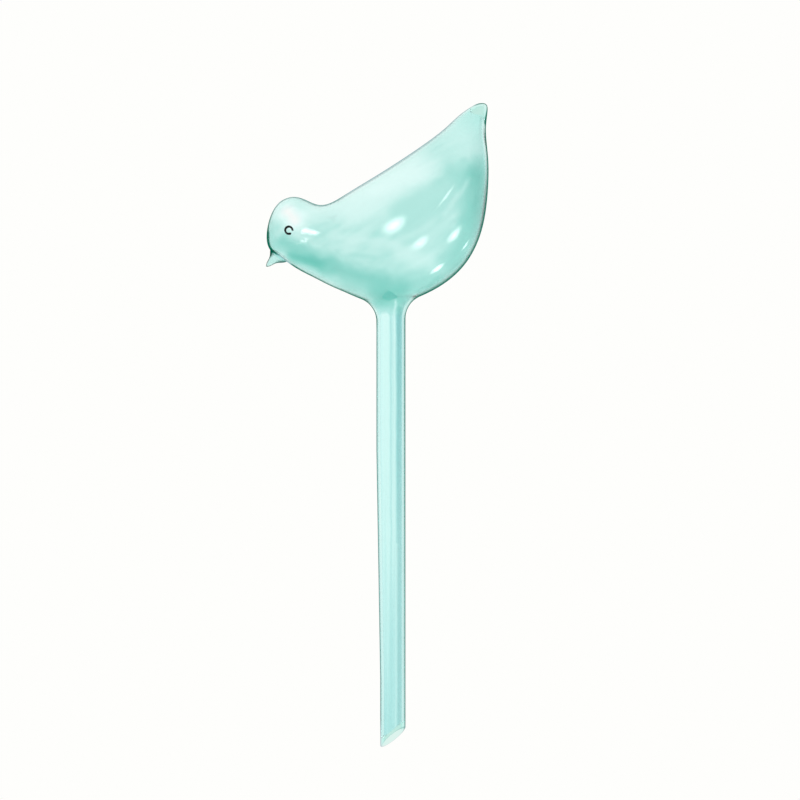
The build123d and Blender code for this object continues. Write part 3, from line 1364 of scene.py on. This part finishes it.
    def add_bubble(self, made: Mesh, skin: Array, root: Array, way: Array) -> None:
        """Add the long bubble of air that is drawn out inside the beak, with its faces inwards.

        Args:
            made: The beak in metres, with its faces outwards.
            skin: The rings of points of its outside, from tip to root, in millimetres.
            root: The rings of points of its root, from the outside in.
            way: The way from root to tip.
        """
        middles = skin.mean(axis=1, keepdims=True)
        arms = skin - middles
        size = np.linalg.norm(arms, axis=-1, keepdims=True)
        first = int(np.argmax(size.min(axis=(1, 2)) > self.bubble_start))
        rings = (middles + arms * (1 - self.bubble_wall / size))[first:-1]
        root = root - root[:1].mean(axis=1, keepdims=True)
        reach = np.linalg.norm(rings[-1] - rings[-1].mean(axis=0), axis=-1).mean()
        root = rings[-1].mean(axis=0) + root * (reach / np.linalg.norm(root[0], axis=-1).mean())
        root += (rings[-1] - root[0])[None] * np.linspace(1, 0, len(root))[:, None, None]
        work = Patchwork()
        places = work.add_points(np.concatenate([rings, root[1:]]))
        work.add_grid(places)
        work.add_fan(places[0], rings[0].mean(axis=0) + way * self.bubble_wall)
        work.add_fan(places[-1], root[-1].mean(axis=0))
        bubble = work.mesh()
        turn_out(bubble)
        bmesh.ops.reverse_faces(bubble, faces=bubble.faces)
        mark_bore(made, lambda place: False)
        mark_bore(bubble, lambda place: True)
        joined(made, written(bubble, "bubble"))


@dataclass
class EyeRing:
    """An open ring of enamel, painted with one stroke of the brush.

    Its ends are round, with a trace of width left so that their points stay apart.
    """

    diameter: float = 3.04
    stroke: float = 0.76
    thickness: float = 0.25
    gap_start_degrees: float = 8.0
    gap_degrees: float = 44.0
    eye: tuple[float, float] = (-0.461, 0.370)
    arc_points: int = 96
    stroke_turns: int = 20
    end_trace: float = 0.0001
    waver: float = 0.24
    waver_count: float = 5.0
    waver_detail: float = 1.0
    probe_start: float = 50.0
    probe_length: float = 100.0

    def tree(self) -> Tree:
        """Build the tree that lays a rounded stroke on the glass.

        Returns:
            The geometry tree.
        """
        tree, given = new_tree("enamel_stroke", {
            Inputs.SHAPE: ("Seed",), Inputs.TARGET: ("Head",), Inputs.FINISH: ("Enamel",),
            Inputs.LENGTH: ("Ring Radius", "Stroke Radius", "Thickness Share", "Start", "Sweep",
                            "Eye X", "Eye Z", "Side", "Probe Start", "Probe Length")})
        arc = add_node(tree, "CurveArc", {
            "Resolution": self.arc_points, "Radius": given["Ring Radius"],
            "Start Angle": given["Start"], "Sweep Angle": given["Sweep"]})
        along = add_node(tree, "SplineParameter").outputs["Factor"]
        left = add_node(tree, "Math", (1.0, along), operation="SUBTRACT")
        nearest = add_node(tree, "Math", (along, left), operation="MINIMUM")
        run = add_node(tree, "Math", (given["Ring Radius"], given["Sweep"]), operation="MULTIPLY")
        far = add_node(tree, "Math", (run, nearest), operation="MULTIPLY")
        ends = add_node(tree, "Math", (far, given["Stroke Radius"]), operation="DIVIDE")
        near_end = add_node(tree, "Math", (ends, 1.0), operation="MINIMUM")
        short = add_node(tree, "Math", (1.0, near_end), operation="SUBTRACT")
        square = add_node(tree, "Math", (short, short), operation="MULTIPLY")
        bulge = add_node(tree, "Math", (1 + self.end_trace, square), operation="SUBTRACT")
        rounded = add_node(tree, "Math", (bulge,), operation="SQRT")
        noise = add_node(tree, "TexNoise", {
            "W": along, "Scale": self.waver_count, "Detail": self.waver_detail}, noise_dimensions="1D")
        wavered = add_node(tree, "Math", (noise, self.waver), operation="MULTIPLY")
        brushed = add_node(tree, "Math", (1 - self.waver / 2, wavered), operation="ADD")
        width = add_node(tree, "Math", (rounded, brushed), operation="MULTIPLY")
        radius = add_node(tree, "Math", (width, given["Stroke Radius"]), operation="MULTIPLY")
        thick = add_node(tree, "SetCurveRadius", {"Curve": arc, "Radius": radius})
        brush = add_node(tree, "CurvePrimitiveCircle", {"Resolution": self.stroke_turns, "Radius": 1.0})
        tube = add_node(tree, "CurveToMesh", {
            "Curve": thick, "Profile Curve": brush, "Scale": add_node(tree, "InputRadius"),
            "Fill Caps": True})
        place = add_node(tree, "InputPosition")
        spot = add_node(tree, "SeparateXYZ", (place,)).outputs
        across = add_node(tree, "Math", (spot["X"], given["Eye X"]), operation="ADD")
        high = add_node(tree, "Math", (spot["Y"], given["Eye Z"]), operation="ADD")
        off, inwards = (add_node(tree, "Math", (given["Side"], way), operation="MULTIPLY")
                        for way in (given["Probe Start"], -1.0))
        head = add_node(tree, "ObjectInfo", {"Object": given["Head"]})
        landed = add_node(tree, "Raycast", {
            "Target Geometry": head.outputs["Geometry"], "Ray Length": given["Probe Length"],
            "Source Position": add_node(tree, "CombineXYZ", (across, off, high)),
            "Ray Direction": add_node(tree, "CombineXYZ", {"Y": inwards})})
        skin = add_node(tree, "SeparateXYZ", (landed.outputs["Hit Position"],)).outputs["Y"]
        sided = add_node(tree, "Math", (spot["Z"], given["Side"]), operation="MULTIPLY")
        raised = add_node(tree, "Math", (sided, given["Thickness Share"]), operation="MULTIPLY")
        out = add_node(tree, "Math", (skin, raised), operation="ADD")
        laid = add_node(tree, "SetPosition", {
            "Geometry": tube, "Position": add_node(tree, "CombineXYZ", (across, out, high))})
        return end_tree(tree, laid, given["Enamel"])

    def build(self, side: Side, bird: BlownBird, shell: Piece, enamel: Material) -> Piece:
        """Build the ring on one side of the head.

        Args:
            side: The side of the head.
            bird: The bird that carries it.
            shell: The bird's glass, which the stroke lies on.
            enamel: The enamel.

        Returns:
            The ring, closed.
        """
        seed = add_object("stroke_seed", bpy.data.meshes.new("stroke_seed"))
        across, high = bird.side(self.eye)
        made = grown(seed, self.tree(), {
            "Head": shell, "Ring Radius": self.diameter / 2 * MM, "Stroke Radius": self.stroke / 2 * MM,
            "Thickness Share": 2 * self.thickness / self.stroke,
            "Start": math.radians(-self.gap_start_degrees), "Sweep": math.radians(360 - self.gap_degrees),
            "Eye X": across * MM, "Eye Z": high * MM, "Side": float(side.value),
            "Probe Start": self.probe_start * MM, "Probe Length": self.probe_length * MM,
            "Enamel": enamel})
        bmesh.ops.remove_doubles(made, verts=made.verts, dist=SAME_PLACE / 10)
        return finished(made, f"eye_ring_{side.name.lower()}")


@dataclass(frozen=True)
class Card:
    """A grey card round the object, in degrees round from +Y towards +X and up from level."""

    round_degrees: tuple[float, float]
    up_degrees: tuple[float, float]
    grey: float
    blur: float = 8.0


@dataclass(frozen=True)
class Patch:
    """A soft white patch that a lamp leaves on the glass, as the camera sees it.

    The middle is in millimetres from the stem's axis and up from the weld, the half sizes are
    along and across the patch, and the tilt is its turn from level.
    """

    middle: tuple[float, float]
    half_sizes: tuple[float, float]
    tilt_degrees: float
    brightness: float
    distance: float = 0.08
    spread_degrees: float = 26.0


@dataclass
class Studio:
    """The pale floor and backdrop, the soft lamps and the camera."""

    surround: float = 0.97
    cards: tuple[Card, ...] = (
        Card((-11.0, 11.0), (-11.0, 11.0), 1.0, 14.0),
        Card((-75.0, -6.0), (-9.0, 60.0), 1.0, 10.0),
        Card((11.0, 30.0), (-60.0, 60.0), 0.85, 8.0),
        Card((-180.0, 180.0), (-90.0, -28.0), 0.85, 10.0),
    )
    patches: tuple[Patch, ...] = (
        Patch((-36.2, 41.6), (2.1, 6.2), -24.0, 18.0, 0.16, 18.0),
        Patch((-35.1, 37.7), (1.3, 4.4), 0.0, 20.0, 0.16, 15.0),
        Patch((1.7, 44.0), (7.8, 4.6), 35.0, 15.0),
        Patch((12.6, 36.5), (8.2, 4.8), 38.0, 12.0),
        Patch((26.6, 39.8), (9.0, 2.6), 38.0, 14.0),
        Patch((19.5, 25.6), (4.8, 1.2), 38.0, 16.0),
        Patch((23.3, 56.2), (7.5, 0.7), 54.0, 8.0),
        Patch((31.2, 35.4), (3.6, 0.5), 55.0, 7.0),
    )
    diffuse_light: float = 0.8
    white: str = "#FEFEFC"
    paper: str = "#F4F4F2"
    floor_glow: float = 0.3
    floor_level: float = -0.26
    floor_radius: float = 0.9
    floor_turns: int = 96
    lamp_fade: tuple[float, float] = (0.1, 0.5)
    probe_start: float = -0.1
    probe_step: float = 0.9
    distance: float = 8.0
    clip: tuple[float, float] = (0.05, 50.0)
    frame_size: float = 0.3355
    centre: tuple[float, float] = (0.0038, -0.0294)

    def add_world(self) -> None:
        """Light everything from a white room, with grey cards that only the glass picks up."""
        bpy.context.scene.world = bpy.data.worlds.new("white_room")
        tree = emptied(bpy.context.scene.world)
        way = add_node(tree, "SeparateXYZ", (add_node(tree, "TexCoord").outputs["Generated"],)).outputs
        round_way = add_node(tree, "Math", (way["X"], way["Y"]), operation="ARCTAN2")
        up_way = add_node(tree, "Math", (way["Z"],), operation="ARCSINE")
        light: Any = self.surround
        for card in self.cards:
            masks = []
            for spot, (low, high) in ((round_way, card.round_degrees), (up_way, card.up_degrees)):
                middle, half = math.radians(low + high) / 2, math.radians(high - low) / 2
                off = add_node(tree, "Math", (spot, middle), operation="SUBTRACT")
                far = add_node(tree, "Math", (off,), operation="ABSOLUTE")
                masks.append(add_node(tree, "MapRange", (
                    far, half, half + math.radians(card.blur), 1.0, 0.0), interpolation_type="SMOOTHSTEP"))
            both = add_node(tree, "Math", tuple(masks), operation="MULTIPLY")
            light = add_node(tree, "Mix", (both, light, card.grey))
        path = add_node(tree, "LightPath").outputs
        through = add_node(tree, "Math", (path["Is Glossy Ray"], path["Is Transmission Ray"]),
                           operation="ADD", use_clamp=True)
        seen = add_node(tree, "Mix", (path["Is Camera Ray"], self.diffuse_light, 1.0))
        strength = add_node(tree, "Mix", (through, seen, light))
        white = add_node(tree, "Background", {"Color": linear(self.white), "Strength": strength})
        add_node(tree, "OutputWorld", {"Surface": white})

    def hung(self, place: Vector, distance: float, skin: BVHTree) -> tuple[Vector, Vector]:
        """Find where a lamp hangs that the glass mirrors to the camera at one place.

        Args:
            place: The place as the camera sees it, as X and Z in millimetres.
            distance: How far the lamp hangs from the glass, in metres.
            skin: The glass.

        Returns:
            The lamp's place and the place on the glass, in metres.
        """
        step = self.probe_step
        ahead = Vector((0, 1, 0))
        hits = [skin.ray_cast(Vector(((place[0] + across) * MM, self.probe_start, (place[1] + high) * MM)),
                              ahead)[0]
                for across, high in ((0, 0), (step, 0), (-step, 0), (0, step), (0, -step))]
        square = (hits[1] - hits[2]).cross(hits[3] - hits[4]).normalized()
        return hits[0] + ahead.reflect(square) * distance, hits[0]

    def add_lamps(self, skin: BVHTree) -> None:
        """Hang the soft lamps that leave their white patches on the glass.

        Args:
            skin: The glass.
        """
        for number, patch in enumerate(self.patches):
            turn = math.radians(patch.tilt_degrees)
            middle = Vector((*patch.middle, 0))
            along = Vector((math.cos(turn), math.sin(turn), 0)) * patch.half_sizes[0]
            across = Vector((-math.sin(turn), math.cos(turn), 0)) * patch.half_sizes[1]
            centre, spot = self.hung(middle, patch.distance, skin)
            ends = [[self.hung(middle + arm * sign, patch.distance, skin)[0] for sign in (1, -1)]
                    for arm in (along, across)]
            spans = [(far - near) / 2 for far, near in ends]
            way = (centre - spot).normalized()
            flat = np.array([span - way * span.dot(way) for span in spans]).T
            axes, sizes, _ = np.linalg.svd(flat, full_matrices=False)
            first = Vector(axes[:, 0]).normalized()
            data = bpy.data.lights.new(f"soft_lamp_{number}", "AREA")
            data.shape = "ELLIPSE"
            data.size, data.size_y = 2 * sizes
            half = math.radians(patch.spread_degrees / 2)
            data.spread = 2 * half
            narrow = (math.tan(half) - half) / math.tan(half)
            data.energy = patch.brightness * math.pi ** 2 * sizes[0] * sizes[1] * narrow
            tree = emptied(data)
            place = add_node(tree, "NewGeometry").outputs["Parametric"]
            off = add_node(tree, "VectorMath", (place, (0.5, 0.5, 0.0)), operation="DISTANCE")
            fade = add_node(tree, "MapRange", (off, *self.lamp_fade, 1.0, 0.0),
                            interpolation_type="SMOOTHSTEP")
            glow = add_node(tree, "Emission", {"Strength": fade})
            add_node(tree, "OutputLight", {"Surface": glow})
            light = add_object(data.name, data)
            light.matrix_world = Matrix((first, way.cross(first), way)).transposed().to_4x4()
            light.location = centre
            light.visible_camera = light.visible_transmission = False

    def add_floor(self) -> None:
        """Lay the pale floor under the stem, of matt paper that fades into the white room."""
        made = bmesh.new()
        bmesh.ops.create_circle(made, cap_ends=True, segments=self.floor_turns, radius=self.floor_radius)
        floor = add_object("floor", written(made, "floor"))
        floor.location.z = self.floor_level
        material = bpy.data.materials.new("matt_white_paper")
        tree = emptied(material)
        path = add_node(tree, "LightPath").outputs
        through = add_node(tree, "Math", (path["Is Glossy Ray"], path["Is Transmission Ray"]),
                           operation="ADD")
        shown = add_node(tree, "Math", (path["Is Camera Ray"], through), operation="ADD", use_clamp=True)
        lift = add_node(tree, "Math", (shown, self.floor_glow), operation="MULTIPLY")
        paper = add_node(tree, "BsdfDiffuse", {"Color": linear(self.paper)})
        glow = add_node(tree, "Emission", {"Color": linear(self.white), "Strength": lift})
        added = add_node(tree, "AddShader", (paper, glow))
        add_node(tree, "OutputMaterial", {"Surface": added})
        floor.data.materials.append(material)

    def add_camera(self) -> None:
        """Set the camera level with the middle of the picture, far off, looking along +Y."""
        data = bpy.data.cameras.new("camera")
        data.lens = data.sensor_width * self.distance / self.frame_size
        data.clip_start, data.clip_end = self.clip
        camera = add_object("camera", data)
        camera.location = (self.centre[0], -self.distance, self.centre[1])
        camera.rotation_euler = (math.pi / 2, 0, 0)
        bpy.context.scene.camera = camera

    def build(self, skin: BVHTree) -> None:
        """Build the whole studio.

        Args:
            skin: The glass that mirrors the lamps.
        """
        self.add_world()
        self.add_lamps(skin)
        self.add_floor()
        self.add_camera()
        bpy.context.scene.view_settings.view_transform = "Standard"


def dress(piece: Piece, slot: str, *materials: Material) -> None:
    """Give a piece its materials.

    Args:
        piece: The piece.
        slot: The record's material slot; not used.
        *materials: The materials in the order of the faces' indices.
    """
    faces = piece.data.polygons
    kinds = np.array([face.material_index for face in faces])
    piece.data.materials.clear()
    for material in materials:
        piece.data.materials.append(material)
    faces.foreach_set("material_index", np.minimum(kinds, len(materials) - 1))


def report(piece: Piece, *nodes: str) -> None:
    """Set a piece in place of its CAD nodes and report it.

    Args:
        piece: The piece.
        *nodes: The CAD nodes that it stands for.
    """
    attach(piece, "root")
    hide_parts(*nodes)
    uses = np.bincount([loop.edge_index for loop in piece.data.loops], minlength=len(piece.data.edges))
    LOG.info("%s: %d faces, %d open edges, for %s", piece.name, len(piece.data.polygons),
             np.count_nonzero(uses != 2), ", ".join(nodes))


def main() -> None:
    """Build the globe and its studio in order."""
    logging.basicConfig(level=logging.INFO, format="%(name)s %(message)s")
    blown = TealGlass()
    # The beak's glass, with its own painted edge shade along its lower edge.
    pulled = TealGlass(
        blown_grain=Grain(4.0, 3.0, 45.0, (0.2, 0.45)), sweeps=(), unbent=(), density=12.0,
        edge_shade_deep="#6FA69D", edge_shade_depth=0.8, blown_rim=(0.2, 0.55), blown_waver=0.5,
        edge_shade_sweeps=(Sweep((-50.4, 35.0), (-52.6, 27.0), 2.4, 1.25, 1.0, 0.8),))
    glass, weld = blown.make("teal_blown_glass"), blown.make_weld("teal_glass_weld")
    beak_glass = pulled.make("teal_pulled_glass")
    enamel = BlackEnamel().make("black_fired_enamel")
    bird = BlownBird()
    shell, tip = bird.build()
    stem = DrawnStem().build(bird.neck_turns, bird.neck_start, glass)
    skin = bird.skin_mesh()
    mirror = BVHTree.FromBMesh(skin)
    skin.free()
    maker = PulledBeak()
    beak = maker.build(bird, mirror)
    maker.mark_seat(bird, shell)
    left, right = (EyeRing().build(side, bird, shell, enamel) for side in Side)
    for piece, own in ((shell, glass), (tip, glass), (stem, glass), (beak, beak_glass)):
        dress(piece, "teal_glass", own, weld)
    for ring in (left, right):
        dress(ring, "black_enamel", enamel)
    for piece, node in ((shell, "bird_body"), (tip, "tail_tip"), (stem, "stem_tube"), (beak, "beak"),
                        (left, "left_eye_ring"), (right, "right_eye_ring")):
        report(piece, node)
    Studio().build(mirror)


if __name__ == "__main__":
    main()
